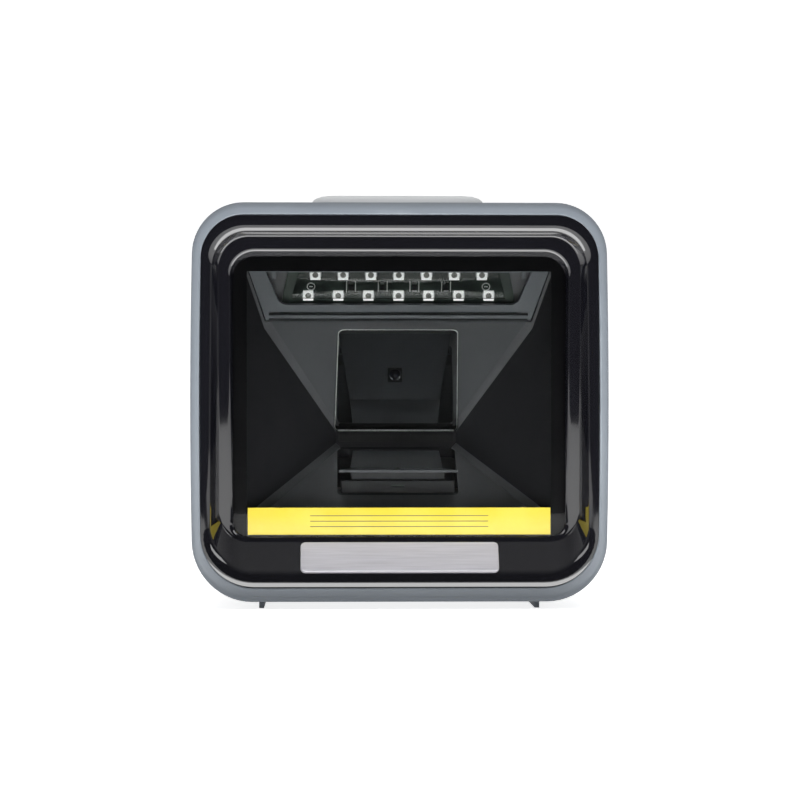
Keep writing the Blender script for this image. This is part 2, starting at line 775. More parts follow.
def build_rear_pad():
    """The raised pad round the two threaded inserts."""
    bm = bmesh.new()
    half_wide, half_tall = 28 * MM, 12 * MM
    places = middle_of(*(f"mount_insert_{side}" for side in SIDES))
    z = places[0][1]
    size = (half_wide, z - half_tall, z + half_tall, 4 * MM, 4 * MM)
    back = BACK - PAD_HEIGHT
    rings = [rounded_ring(bm, *size, y) for y in (back - 0.4 * MM, BACK)]
    bridge(bm, rings)
    for ring in rings:
        cap(bm, ring)
    fillet(bm, rings[1], 0.35 * MM, 3)
    pad = finished("rear_pad", bm)
    cut(pad, [hollow_cylinder_cutter(places, 2.85 * MM, back - 2 * MM, BACK + 2 * MM)])
    return dress(pad, "housing_grey", housing_plastic)


# ---------------------------------------------------------------- bezel and window


def build_bezel():
    bm = bmesh.new()
    back = depth(FACE_RECESS + BEZEL_DEPTH)
    face = depth(FACE_RECESS)
    lip_back = WINDOW_FRONT - 0.05 * MM
    seat = furthered(THROAT_STEP, -3.2)
    outer_front = inset_ring(bm, BEZEL_EDGE, face)
    mouth = inset_ring(bm, MOUTH, face + FACE_LEAN)
    first = inset_ring(bm, FIRST_STEP, depth(STEP_DEPTH_BOTTOM), depth(STEP_DEPTH_TOP))
    second = inset_ring(bm, SECOND_STEP, depth(STEP_DEPTH_BOTTOM), depth(STEP_DEPTH_TOP))
    throat = inset_ring(bm, THROAT_STEP, WINDOW_FRONT - 1 * MM)
    rings = [
        inset_ring(bm, BEZEL_EDGE, back),
        outer_front,
        mouth,
        first,
        second,
        throat,
        inset_ring(bm, THROAT_STEP, lip_back),
        inset_ring(bm, seat, lip_back),
        inset_ring(bm, seat, back),
    ]
    bridge(bm, rings, closed=True)
    fillet(bm, outer_front, 0.3 * MM, 3)
    fillet(bm, mouth, 1.6 * MM, 7)
    fillet(bm, first, 0.35 * MM, 3)
    fillet(bm, second, 0.9 * MM, 5)
    fillet(bm, throat, 0.25 * MM, 3)
    bezel = finished("bezel_frame", bm, stands_for=["front_bezel"], angle=math.radians(40))
    return dress(bezel, "bezel_black", piano_black)


def build_window_print():
    """The black printed border behind the window; its clear middle has square corners."""
    bm = bmesh.new()
    front = window_high.y
    back = front + 0.04 * MM
    clear_half = strip_high.x + 0.4 * MM
    clear_low = strip_low.z - 0.6 * MM
    clear_high = TOP - 22.6 * MM
    outer = (window_high.x, window_low.z, window_high.z, 7 * MM, 4 * MM)
    inner = (clear_half, clear_low, clear_high, 0.3 * MM, 0.3 * MM)
    bridge_flat_frame(bm, outer, inner, front, back)
    border = finished("window_border_print", bm)
    return dress(border, "gasket_rubber", window_print)


def build_strip():
    """The plain yellow strip, with three equal, evenly spaced neutral bars and no print."""
    bm = bmesh.new()
    bar(bm, strip_low, strip_high, 0.06 * MM, 2)
    strip = finished("strip_film", bm, stands_for=["yellow_strip"])
    dress(strip, "strip_yellow", strip_film)
    ink = bmesh.new()
    face = strip_low.y
    height = strip_high.z - strip_low.z
    half = height * 0.016
    for share in (0.3, 0.5, 0.7):
        z = strip_low.z + height * share
        bar(ink, (-30 * MM, face - 0.012 * MM, z - half), (30 * MM, face + 0.02 * MM, z + half))
    return dress(finished("strip_bars", ink), "strip_yellow", strip_ink)


PLATE_WIDTH = 66.4 * MM
PLATE_HEIGHT = 11.6 * MM
PLATE_THICK = 0.8 * MM


def build_plate():
    """The blank satin plate on the bezel's lower slope, with a bright chamfer round it."""
    rise = (FIRST_STEP[2] - MOUTH[2]) * MM
    run = STEP_DEPTH_BOTTOM - FACE_RECESS
    slope = -math.atan2(run, rise)
    middle = Vector((0, depth(FACE_RECESS) + run / 2, BASE + MOUTH[2] * MM + rise / 2))
    bm = bmesh.new()
    half = PLATE_HEIGHT / 2
    size = (PLATE_WIDTH / 2, -half, half, 1.7 * MM, 1.7 * MM)
    rings = [rounded_ring(bm, *size, y) for y in (0.4 * MM, -PLATE_THICK)]
    bridge(bm, rings)
    for ring in rings:
        cap(bm, ring)
    fillet(bm, rings[1], 0.3 * MM, 3)
    place(bm, tilted(middle, slope))
    plate = finished("plate_satin", bm, stands_for=["name_plate"])
    return dress(plate, "plate_silver", plate_metal)


# ---------------------------------------------------------------- light hood

HOOD_FRONT = window_high.y + 1.15 * MM
HOOD_WALL = 2 * MM
HOOD_CHAMFER = 2.2 * MM
MOUTH_HALF = HALF - 18.5 * MM
MOUTH_LOW = BASE + 26.7 * MM
MOUTH_HIGH = TOP - 22.4 * MM
BEND_DEPTH = 8 * MM
BEND_DROP = 17.1 * MM
BEND_SIDE = 5.8 * MM
BEND_RISE = 4.3 * MM
MIRROR_RUN = 36.2 * MM
THROAT_HALF = 21.3 * MM
THROAT_TALL = 7.1 * MM
WELL_HALF = 20.8 * MM
WELL_START = 15 * MM
BEND_Y = HOOD_FRONT + BEND_DEPTH
BEND_TOP = MOUTH_HIGH - BEND_DROP
THROAT_Y = BEND_Y + MIRROR_RUN
THROAT_TOP = BEND_TOP - MIRROR_RUN
THROAT_LOW = THROAT_TOP - THROAT_TALL

LIGHT_SLOPE = math.atan2(BEND_DEPTH, BEND_DROP)
LIGHT_LENGTH = math.hypot(BEND_DEPTH, BEND_DROP)
ON_LIGHTS = tilted(Vector((0, HOOD_FRONT, MOUTH_HIGH)), LIGHT_SLOPE)
ON_MIRROR = tilted(Vector((0, BEND_Y, BEND_TOP)), math.radians(45))
MIRROR_LENGTH = math.hypot(MIRROR_RUN, MIRROR_RUN)


def chamfered_ring(bm, half, low, high, chamfer, y):
    """An upright rectangle of edges with its four corners cut off."""
    before = set(bm.edges)
    corners = [(-half, low), (half, low), (half, high), (-half, high)]
    verts = [bm.verts.new((x, y, z)) for x, z in corners]
    bm.faces.new(verts)
    bmesh.ops.bevel(
        bm, geom=verts, offset=chamfer, segments=1, profile=0.5, affect="VERTICES", material=-1
    )
    edges = new_edges(bm, before)
    bmesh.ops.delete(bm, geom=[edges[0].link_faces[0]], context="FACES_ONLY")
    return new_edges(bm, before)


def funnel_rings(bm, grow, chamfer):
    bend = (MOUTH_HALF - BEND_SIDE, MOUTH_LOW + BEND_RISE, BEND_TOP)
    stages = [
        (HOOD_FRONT, MOUTH_HALF, MOUTH_LOW, MOUTH_HIGH, 0.8),
        (BEND_Y, *bend, 1.0),
        (THROAT_Y, THROAT_HALF, THROAT_LOW, THROAT_TOP, 0.7),
    ]
    return [
        chamfered_ring(bm, half + grow, low - grow, high + grow * math.sqrt(2), chamfer * share, y)
        for y, half, low, high, share in stages
    ]


def slab(bm, low_half, high_half, low, high, y0, y1):
    """A plate whose sides spread from its lower edge to its upper edge, between two depths."""
    before = set(bm.verts)
    corners = [(-low_half, low), (low_half, low), (high_half, high), (-high_half, high)]
    face = bm.faces.new([bm.verts.new((x, y0, z)) for x, z in corners])
    extrude(bm, [face], (0, y1 - y0, 0))
    return [vert for vert in bm.verts if vert not in before]


MIRROR_LOW = -MIRROR_LENGTH - 2.3 * MM
MIRROR_HIGH = -3.8 * MM
MIRROR_LOW_HALF = THROAT_HALF + 0.5 * MM
MIRROR_HIGH_HALF = 20.5 * MM
FRAME_LOW = -LIGHT_LENGTH + 0.6 * MM
FRAME_HIGH = 0.4 * MM
FRAME_LOW_HALF = MOUTH_HALF - BEND_SIDE - 0.6 * MM
FRAME_HIGH_HALF = MOUTH_HALF - 0.6 * MM


def round_upright_edges(bm, verts, radius, segments=6):
    """Rounds the edges of a slab that run through its thickness."""
    through = [edge for edge in edges_of(verts) if abs(edge.verts[0].co.y - edge.verts[1].co.y) > 1e-5]
    fillet(bm, through, radius, segments)


def build_hood():
    bm = bmesh.new()
    inner = funnel_rings(bm, 0, HOOD_CHAMFER)
    outer = funnel_rings(bm, HOOD_WALL, HOOD_CHAMFER)
    bridge(bm, [*reversed(inner), *outer])
    cap(bm, inner[-1])
    cap(bm, outer[-1])
    bmesh.ops.translate(
        bm, verts=ring_verts(outer[-1]), vec=(0, HOOD_WALL, 0)
    )
    hood = finished("hood_funnel", bm, stands_for=["light_hood"], angle=math.radians(20))

    lights = bmesh.new()
    gap = 0.3 * MM
    slab(lights, FRAME_LOW_HALF + gap, FRAME_HIGH_HALF + gap, FRAME_LOW - gap, FRAME_HIGH + gap,
         -3 * MM, 12 * MM)
    place(lights, ON_LIGHTS)
    mirror = bmesh.new()
    verts = slab(mirror, MIRROR_LOW_HALF + gap, MIRROR_HIGH_HALF + gap, MIRROR_LOW - gap,
                 MIRROR_HIGH + gap, -1 * MM, 4 * MM)
    round_upright_edges(mirror, verts, 2.3 * MM)
    place(mirror, ON_MIRROR)
    well = bmesh.new()
    verts = bar(well, (-WELL_HALF, HOOD_FRONT + WELL_START, THROAT_LOW - 35 * MM),
                (WELL_HALF, THROAT_Y - 1 * MM, THROAT_LOW + THROAT_TALL / 4))
    upright = {edge for vert in verts for edge in vert.link_edges
               if abs(edge.verts[0].co.z - edge.verts[1].co.z) > 1e-5}
    fillet(well, list(upright), 1.6 * MM, 5)
    cut(hood, [cutter_from(lights), cutter_from(mirror), cutter_from(well)], math.radians(20))
    dress(hood, "hood_black", hood_plastic, hood_side_plastic, hood_corner_plastic, hood_floor_plastic)
    for face in hood.data.polygons:
        sideways = abs(face.normal.x)
        at_back = face.center.y > THROAT_Y - 3 * MM
        if sideways > 0.7 or at_back:
            face.material_index = 1
        elif sideways > 0.25:
            face.material_index = 2
        elif face.normal.z > 0.3:
            face.material_index = 3
    return hood


def build_hood_flange():
    """The flat flange round the hood's mouth that presses the window's gasket."""
    bm = bmesh.new()
    outer = (window_high.x, window_low.z, window_high.z, 7 * MM, 4 * MM)
    inner = (MOUTH_HALF + 0.6 * MM, MOUTH_LOW - 0.6 * MM, MOUTH_HIGH + 0.9 * MM, 1 * MM, 1 * MM)
    front, back = HOOD_FRONT - 0.02 * MM, HOOD_FRONT + 2 * MM
    bridge_flat_frame(bm, outer, inner, front, back)
    return dress(finished("hood_flange", bm), "hood_black", hood_plastic)


# ---------------------------------------------------------------- lights

FRAME_THICK = 1.6 * MM
OPENING_HIGH = FRAME_HIGH - 1.0 * MM
OPENING_LOW = FRAME_LOW + 5.7 * MM
OPENING_HIGH_HALF = FRAME_HIGH_HALF - 6 * MM
OPENING_LOW_HALF = FRAME_LOW_HALF - 4.8 * MM
COVER_Y = FRAME_THICK + 0.3 * MM
LED_FRONT = 3 * MM
LIGHT_BOARD_Y = 3.95 * MM
LEDS_IN_ROW = 7
LED_ROWS = (("led_upper", 9.44 * MM, -2.9 * MM), ("led_lower", 10.26 * MM, -10.5 * MM))


def build_led_frame():
    """The grey surround of the lights: a thin plate with a rounded opening and two ribs below it."""
    bm = bmesh.new()
    slab(bm, FRAME_LOW_HALF, FRAME_HIGH_HALF, FRAME_LOW, FRAME_HIGH, 0, FRAME_THICK)
    fillet(bm, bm.edges[:], 0.18 * MM, 2)
    light_frame = finished("light_frame", bm, stands_for=["led_frame"], angle=math.radians(35))
    opening = bmesh.new()
    verts = slab(opening, OPENING_LOW_HALF, OPENING_HIGH_HALF, OPENING_LOW, OPENING_HIGH,
                 -2 * MM, 4 * MM)
    low_corners = [edge for edge in edges_of(verts)
                   if abs(edge.verts[0].co.y - edge.verts[1].co.y) > 1e-5
                   and edge.verts[0].co.z < OPENING_LOW + 1e-5]
    fillet(opening, low_corners, 2.4 * MM, 6)
    cut(light_frame, [cutter_from(opening)], math.radians(35))
    light_frame.data.transform(ON_LIGHTS)
    dress(light_frame, "frame_grey", frame_plastic)

    grooves = []
    for down, tall in ((2.55, 1.25), (4.95, 0.55)):
        groove = bmesh.new()
        z = OPENING_LOW - down * MM
        half = FRAME_LOW_HALF - 0.9 * MM
        bar(groove, (-half, -2 * MM, z - tall * MM), (half, 3 * MM, z), 0.1 * MM, 1)
        groove_cutter = cutter_from(groove)
        groove_cutter.data.transform(ON_LIGHTS)
        grooves.append(groove_cutter)
    cut(light_frame, grooves, math.radians(35))

    ribs = bmesh.new()
    lip = 0.7 * MM
    for side in (-1, 1):
        x = side * (OPENING_HIGH_HALF - 2.6 * MM)
        bar(ribs, (x - lip, 0.2 * MM, OPENING_HIGH - 2.4 * MM), (x + lip, COVER_Y, OPENING_HIGH), 0.1 * MM)
    place(ribs, ON_LIGHTS)
    return dress(finished("light_frame_ribs", ribs), "frame_grey", frame_plastic)


BOARD_LOW = FRAME_LOW + 1 * MM
BOARD_LOW_HALF = 40.6 * MM
BOARD_HIGH_HALF = 37.2 * MM


def build_light_board():
    bm = bmesh.new()
    slab(bm, BOARD_LOW_HALF, BOARD_HIGH_HALF, BOARD_LOW, FRAME_HIGH, LIGHT_BOARD_Y,
         LIGHT_BOARD_Y + 1.2 * MM)
    fillet(bm, bm.edges[:], 0.08 * MM, 1)
    place(bm, ON_LIGHTS)
    board = dress(finished("light_board", bm, stands_for=["led_board"]), "board_green", board_mask)

    shade_box = bmesh.new()
    slab(shade_box, FRAME_LOW_HALF, FRAME_HIGH_HALF, FRAME_LOW, FRAME_HIGH,
         LIGHT_BOARD_Y + 1.4 * MM, LIGHT_BOARD_Y + 2.2 * MM)
    place(shade_box, ON_LIGHTS)
    dress(finished("light_board_backing", shade_box), "hood_black", hood_plastic)
    return board


def build_light_cover():
    """The clear cover over the lights, with the thick edge that catches the light."""
    bm = bmesh.new()
    slab(bm, 36.4 * MM, 33.4 * MM, OPENING_LOW + 1.5 * MM, FRAME_HIGH, COVER_Y, COVER_Y + 0.8 * MM)
    fillet(bm, bm.edges[:], 0.2 * MM, 2)
    place(bm, ON_LIGHTS)
    cover = finished("light_cover", bm, stands_for=["led_cover"])
    return dress(cover, "cover_clear", cover_pane)


def build_led(node, x, z):
    """One light: a white package with a round gel-filled cup and tinned ends."""
    half = 1.75 * MM
    bm = bmesh.new()
    bar(bm, (-half, 0, -half), (half, 0.85 * MM, half), 0.12 * MM, 2)
    package = finished(f"{node}_package", bm, stands_for=[node])
    cup = bmesh.new()
    rod(cup, 1.25 * MM, (0, -0.3 * MM, 0), (0, 0.35 * MM, 0), 24, end_radius=1.0 * MM)
    cut(package, [cutter_from(cup)])
    package.data.transform(ON_LIGHTS @ Matrix.Translation((x, LED_FRONT, z)))
    dress(package, "led_white", led_package)

    gel = bmesh.new()
    rod(gel, 1.02 * MM, (0, 0.22 * MM, 0), (0, 0.4 * MM, 0), 24)
    bar(gel, (-0.4 * MM, 0.12 * MM, -0.4 * MM), (0.4 * MM, 0.3 * MM, 0.4 * MM), 0.05 * MM, 1)
    place(gel, ON_LIGHTS @ Matrix.Translation((x, LED_FRONT, z)))
    dress(finished(f"{node}_gel", gel), "led_white", led_gel)

    ends = bmesh.new()
    for side in (-1, 1):
        outer = side * (half + 0.35 * MM)
        inner = side * (half - 0.3 * MM)
        bar(ends, (min(outer, inner), 0.62 * MM, -0.9 * MM), (max(outer, inner), 0.93 * MM, 0.9 * MM),
            0.06 * MM, 1)
    place(ends, ON_LIGHTS @ Matrix.Translation((x, LED_FRONT, z)))
    dress(finished(f"{node}_ends", ends), "led_white", solder_tin)


def build_resistor(node, x):
    z = -7.4 * MM
    front = LIGHT_BOARD_Y - 0.62 * MM
    back = LIGHT_BOARD_Y - 0.02 * MM
    matrix = ON_LIGHTS @ Matrix.Translation((x, 0, z))
    bm = bmesh.new()
    bar(bm, (-0.8 * MM, front, -1.1 * MM), (0.8 * MM, back, 1.1 * MM), 0.06 * MM, 1)
    place(bm, matrix)
    dress(finished(f"{node}_body", bm, stands_for=[node]), "chip_black", chip_plastic)
    ends = bmesh.new()
    for side in (-1, 1):
        z0, z1 = sorted((side * 1.05 * MM, side * 1.65 * MM))
        bar(ends, (-0.85 * MM, front - 0.03 * MM, z0), (0.85 * MM, back, z1), 0.08 * MM, 2)
    place(ends, matrix)
    dress(finished(f"{node}_ends", ends), "chip_black", solder_tin)


def build_board_print(resistor_places):
    """Printed marks on the light board: an outline round each resistor and a ring at each end of the row."""
    bm = bmesh.new()
    front = LIGHT_BOARD_Y - 0.03 * MM
    z = -7.4 * MM
    thin = 0.16 * MM
    for x in resistor_places:
        for side in (-1, 1):
            edge = x + side * 1.5 * MM
            bar(bm, (edge - thin, front, z - 1.9 * MM), (edge + thin, LIGHT_BOARD_Y, z + 1.9 * MM))
    for side in (-1, 1):
        ring = (side * 29.8 * MM, z)
        for turn in range(24):
            angle = turn / 24 * math.tau
            at = (ring[0] + 1.3 * MM * math.cos(angle), front, ring[1] + 1.3 * MM * math.sin(angle))
            bar(bm, Vector(at) - Vector((thin, 0, thin)), Vector(at) + Vector((thin, 0.02 * MM, thin)))
        bar(bm, (ring[0] - 0.6 * MM, front, z - thin), (ring[0] + 0.6 * MM, LIGHT_BOARD_Y, z + thin))
    place(bm, ON_LIGHTS)
    return dress(finished("light_board_print", bm), "board_green", silk_white)


def build_lights():
    build_led_frame()
    build_light_board()
    build_light_cover()
    for name, pitch, z in LED_ROWS:
        for number in range(1, LEDS_IN_ROW + 1):
            build_led(f"{name}_{number}", (number - (LEDS_IN_ROW + 1) / 2) * pitch, z)
    places = [(number - 2.5) * 10.8 * MM for number in range(1, 5)]
    for number, x in enumerate(places, 1):
        build_resistor(f"led_resistor_{number}", x)
    build_board_print(places)


# ---------------------------------------------------------------- mirror and camera


def build_mirror():
    """A slip of front-silvered glass; its ground, slightly chipped edges show round it."""
    bm = bmesh.new()
    verts = slab(bm, MIRROR_LOW_HALF, MIRROR_HIGH_HALF, MIRROR_LOW, MIRROR_HIGH, 0.3 * MM, 2.3 * MM)
    round_upright_edges(bm, verts, 2.2 * MM)
    front = min(bm.faces, key=lambda face: face.calc_center_median().y)
    edge_loop = list(front.edges)
    fillet(bm, edge_loop, 0.22 * MM, 1)
    place(bm, ON_MIRROR)
    mirror = finished("mirror_glass", bm, stands_for=["fold_mirror"], angle=math.radians(15))
    dress(mirror, "mirror_silver", mirror_silver, mirror_edge)
    bead = bmesh.new()
    half = MIRROR_LOW_HALF - 1.2 * MM
    y, z = 0.35 * MM, MIRROR_LOW + 0.25 * MM
    rod(bead, 0.42 * MM, (-half, y, z), (half, y, z), 12)
    place(bead, ON_MIRROR)
    dress(finished("mirror_edge_bead", bead), "mirror_silver", mirror_edge)
    widest = max(face.area for face in mirror.data.polygons)
    for face in mirror.data.polygons:
        face.material_index = 0 if face.area > widest * 0.5 else 1
    return mirror


COVER_BACK = 6.3 * MM


def build_camera():
    holder_low, holder_high = box_of("camera_holder")
    lens_low, lens_high = box_of("camera_lens")
    middle = (holder_low + holder_high) / 2
    bm = bmesh.new()
    bar(bm, holder_low, holder_high, 0.35 * MM, 3)
    holder = finished("camera_block", bm, stands_for=["camera_holder"])
    bore = bmesh.new()
    rod(bore, 2.25 * MM, (middle.x, middle.y, holder_low.z + 1 * MM), (middle.x, middle.y, lens_high.z))
    cut(holder, [cutter_from(bore)])
    dress(holder, "chip_black", chip_plastic)
    lens = bmesh.new()
    steps = 10
    top = lens_high.z
    radius = (lens_high.x - lens_low.x) / 2
    outline = [
        (0, lens_low.z),
        (radius, lens_low.z),
        (radius, top - 0.8 * MM),
        (radius * 0.85, top - 0.7 * MM),
    ]
    dome = [(radius * 0.62 * math.cos(step / steps * math.pi / 2),
             top - 1.1 * MM + 0.9 * MM * math.sin(step / steps * math.pi / 2)) for step in range(steps + 1)]
    line = [lens.verts.new((x + middle.x, middle.y, z)) for x, z in outline + dome]
    edges = [lens.edges.new(pair) for pair in zip(line, line[1:])]
    bmesh.ops.spin(lens, geom=line + edges, cent=(middle.x, middle.y, 0), axis=(0, 0, 1),
                   angle=math.tau, steps=40, use_merge=True)
    return dress(finished("camera_lens_glass", lens, stands_for=["camera_lens"]), "lens_glass", lens_coating)


def build_camera_cover():
    """The camera's dark cover: a level plate with a square hole, a rising panel and a stepped front."""
    lens_low, lens_high = box_of("camera_lens")
    middle = (lens_low + lens_high) / 2
    top = lens_high.z - 0.7 * MM
    front = HOOD_FRONT + WELL_START + 2.6 * MM
    level = Matrix.Rotation(math.radians(-90), 4, "X")
    bm = bmesh.new()
    visor = front - 6.6 * MM
    slab(bm, 20.3 * MM, 16.2 * MM, visor, COVER_BACK, -top, 0.9 * MM - top)
    fillet(bm, bm.edges[:], 0.2 * MM, 2)
    place(bm, level)
    cover = finished("camera_cover", bm, angle=math.radians(35))
    window = bmesh.new()
    reach = 2.6 * MM
    bar(window, middle - Vector((reach, reach, 2 * MM)), middle + Vector((reach, reach, 5 * MM)), 0.3 * MM, 2)
    cut(cover, [cutter_from(window)], math.radians(35))
    dress(cover, "hood_black", cover_plastic)

    rise, run = 6.4 * MM, THROAT_Y - 0.4 * MM - COVER_BACK
    panel = bmesh.new()
    slab(panel, 16.2 * MM, 15.2 * MM, 0, math.hypot(rise, run), 0, 0.9 * MM)
    fillet(panel, panel.edges[:], 0.2 * MM, 2)
    turn = Matrix.Rotation(math.atan2(rise, run), 4, "X")
    place(panel, Matrix.Translation((0, COVER_BACK, top)) @ turn @ level)
    dress(finished("camera_cover_rise", panel, angle=math.radians(35)), "hood_black", cover_plastic)

    step = bmesh.new()
    bar(step, (-16.2 * MM, front, top - 3.6 * MM), (16.2 * MM, front + 0.8 * MM, top - 0.3 * MM), 0.2 * MM)
    bar(step, (-19.6 * MM, front - 1.6 * MM, top - 8.2 * MM), (19.6 * MM, front + 0.6 * MM, top - 3.7 * MM),
        0.4 * MM)
    steps = finished("camera_cover_front", step, angle=math.radians(35))
    slot = bmesh.new()
    z = top - 5.6 * MM
    slot_low = (-2.2 * MM, front - 3 * MM, z - 0.45 * MM)
    slot_high = (2.2 * MM, front - 0.2 * MM, z + 0.45 * MM)
    bar(slot, slot_low, slot_high, 0.2 * MM)
    cut(steps, [cutter_from(slot)], math.radians(35))
    dress(steps, "hood_black", cover_front_plastic)

    foam = bmesh.new()
    bar(foam, (-THROAT_HALF + 1 * MM, THROAT_Y - 0.9 * MM, THROAT_LOW + 1.9 * MM),
        (THROAT_HALF - 1 * MM, THROAT_Y + 0.2 * MM, THROAT_TOP - 2 * MM), 0.3 * MM)
    return dress(finished("mirror_rest_foam", foam), "gasket_rubber", gasket_foam)


# ---------------------------------------------------------------- key, rails and rear fittings


def flat_ring(bm, half, deep, corner, z):
    """A level rounded rectangle of edges round the key's middle."""
    edges = rounded_ring(bm, half, -deep, deep, corner, corner, 0)
    verts = ring_verts(edges)
    bmesh.ops.rotate(bm, verts=verts, matrix=Matrix.Rotation(math.radians(-90), 3, "X"))
    bmesh.ops.translate(bm, verts=verts, vec=(0, KEY_MIDDLE, z))
    return edges


def build_key():
    """The top key: a low bar with soft shoulders and a slightly dished top."""
    bm = bmesh.new()
    half, deep, corner = KEY_HALF_WIDTH, KEY_HALF_DEPTH, KEY_CORNER
    top = key_high.z
    levels = [
        (KEY_FLANGE, key_low.z + 3.6 * MM),
        (KEY_FLANGE, key_low.z + 3.7 * MM),
        (0.0, key_low.z + 3.8 * MM),
        (0.0, top - 3.2 * MM),
        (-0.25 * MM, top - 2.4 * MM),
        (-0.9 * MM, top - 1.4 * MM),
        (-2.0 * MM, top - 0.65 * MM),
        (-3.4 * MM, top - 0.18 * MM),
        (-4.8 * MM, top),
        (-6.2 * MM, top - 0.05 * MM),
    ]
    rings = [flat_ring(bm, half + out, deep + out, corner + out, z) for out, z in levels]
    bridge(bm, rings)
    cap(bm, rings[0])
    cap(bm, rings[-1])
    key = finished("key_bar", bm, KEY_BODY, stands_for=["top_key"], angle=math.radians(40))
    dress(key, "key_light_grey", key_plastic)
    works = bmesh.new()
    y = KEY_MIDDLE
    rod(works, 2 * MM, (0, y, key_low.z), (0, y, key_low.z + 3.7 * MM), 24)
    for node in ("key_spring_left", "key_spring_right"):
        low, high = box_of(node)
        x = (low.x + high.x) / 2
        rod(works, 1.9 * MM, (x, y, high.z - 1.2 * MM), (x, y, key_low.z + 3.7 * MM), 24)
    fillet(works, works.edges[:], 0.15 * MM, 2)
    return dress(finished("key_stems", works, KEY_BODY), "key_light_grey", key_plastic)


def build_rail(side):
    """A thin foot rail with rounded ends and a flared root."""
    node = f"foot_rail_{side}"
    low, high = box_of(node)
    x = (low.x + high.x) / 2
    bm = bmesh.new()
    blade = 0.85 * MM
    root = 1.45 * MM
    inner = -1 if side == "right" else 1
    outline = [
        (x - blade, 0.0),
        (x + blade, 0.0),
        (x + blade, BASE - 0.7 * MM),
        (x + (root if inner > 0 else blade), BASE + 0.2 * MM),
        (x - (root if inner < 0 else blade), BASE + 0.2 * MM),
        (x - blade, BASE - 0.7 * MM),
    ]
    face = bm.faces.new([bm.verts.new((px, low.y, pz)) for px, pz in outline])
    extrude(bm, [face], (0, high.y - low.y, 0))
    edges = [edge for edge in bm.edges
             if abs(edge.verts[0].co.y - edge.verts[1].co.y) < 1e-5 or edge.verts[0].co.z < 1e-5]
    fillet(bm, edges, 0.22 * MM, 3)
    return dress(finished(f"foot_{side}", bm, stands_for=[node]), "rail_grey", housing_plastic)


def build_jack():
    """The modular cable inlet: a black block with a latch notch and eight gold contacts."""
    low, high = box_of("data_jack")
    middle = (low + high) / 2
    bm = bmesh.new()
    bar(bm, low, (high.x, high.y - 0.1 * MM, high.z), 0.3 * MM, 3)
    jack = finished("jack_block", bm, stands_for=["data_jack"])
    opening = bmesh.new()
    socket_low = middle.z - 5.3 * MM
    socket_high = socket_low + 8.2 * MM
    depth_from = high.y - 12 * MM
    rear = high.y + 2 * MM
    bar(opening, (-5.9 * MM, depth_from, socket_low), (5.9 * MM, rear, socket_high), 0.15 * MM, 2)
    latch = bmesh.new()
    bar(latch, (-3.2 * MM, depth_from, middle.z), (3.2 * MM, rear, socket_high + 2.4 * MM), 0.15 * MM, 2)
    cut(jack, [cutter_from(opening), cutter_from(latch)])
    dress(jack, "chip_black", chip_plastic)
    pins = bmesh.new()
    for number in range(8):
        x = (number - 3.5) * 1.02 * MM
        start = (x, depth_from + 0.1 * MM, socket_low + 4.6 * MM)
        end = (x, high.y - 3 * MM, socket_low + 0.7 * MM)
        rod(pins, 0.22 * MM, start, end, 8)
    return dress(finished("jack_contacts", pins), "chip_black", contact_gold)


def build_screw(node, tool_reach, length_up):
    """A domed screw head with a cross recess, over its shank. It faces the rear or, if not, the front."""
    low, high = box_of(node)
    x, z = (low.x + high.x) / 2, (low.z + high.z) / 2
    radius = (high.x - low.x) / 2
    out = 1 if length_up else -1
    seat = high.y - 1.2 * MM if length_up else low.y + 1.4 * MM
    end = high.y if length_up else low.y
    bm = bmesh.new()
    head = rod(bm, radius, (x, seat, z), (x, end - out * 0.05 * MM, z), 40)
    rim = {edge for vert in head for edge in vert.link_edges
           if all(abs(v.co.y - (end - out * 0.05 * MM)) < 1e-6 for v in edge.verts)}
    fillet(bm, list(rim), 0.5 * MM, 5)
    rod(bm, radius * 0.52, (x, low.y if length_up else high.y, z), (x, seat, z), 24)
    screw = finished(f"{node}_head", bm, stands_for=[node])
    cross = bmesh.new()
    reach, thin = tool_reach, tool_reach * 0.24
    y0, y1 = sorted((end - out * 0.9 * MM, end + out * 1 * MM))
    bar(cross, (x - reach, y0, z - thin), (x + reach, y1, z + thin))
    upright = bmesh.new()
    bar(upright, (x - thin, y0, z - reach), (x + thin, y1, z + reach))
    cut(screw, [cutter_from(cross), cutter_from(upright)])
    return dress(screw, "screw_steel", screw_zinc)


def build_insert(node):
    """A brass insert with a chamfered mouth and thread ridges down its bore."""
    low, high = box_of(node)
    x, z = (low.x + high.x) / 2, (low.z + high.z) / 2
    radius = (high.x - low.x) / 2
    bore = 1.7 * MM
    bm = bmesh.new()
    outline = [(radius, low.y), (radius, high.y - 0.2 * MM), (radius - 0.2 * MM, high.y),
               (bore + 0.35 * MM, high.y)]
    pitch = 0.7 * MM
    turns = int((high.y - low.y - 0.6 * MM) / pitch)
    for turn in range(turns):
        y = high.y - 0.35 * MM - turn * pitch
        outline.append((bore, y))
        outline.append((bore + 0.25 * MM, y - pitch / 2))
    outline.append((bore, low.y))
    line = [bm.verts.new((x + across, y, z)) for across, y in outline]
    edges = [bm.edges.new(pair) for pair in zip(line, line[1:] + line[:1])]
    bmesh.ops.spin(bm, geom=line + edges, cent=(x, 0, z), axis=(0, 1, 0), angle=math.tau,
                   steps=40, use_merge=True)
    return dress(finished(f"{node}_brass", bm, stands_for=[node]), "insert_brass", insert_brass)


def build_label():
    low, high = box_of("rating_label")
    bm = bmesh.new()
    size = (high.x, low.z, high.z, 1.5 * MM, 1.5 * MM)
    rings = [rounded_ring(bm, *size, y) for y in (low.y, high.y)]
    bridge(bm, rings)
    for ring in rings:
        cap(bm, ring)
    fillet(bm, rings[1], 0.06 * MM, 1)
    return dress(finished("label_film", bm, stands_for=["rating_label"]), "label_grey", label_film)


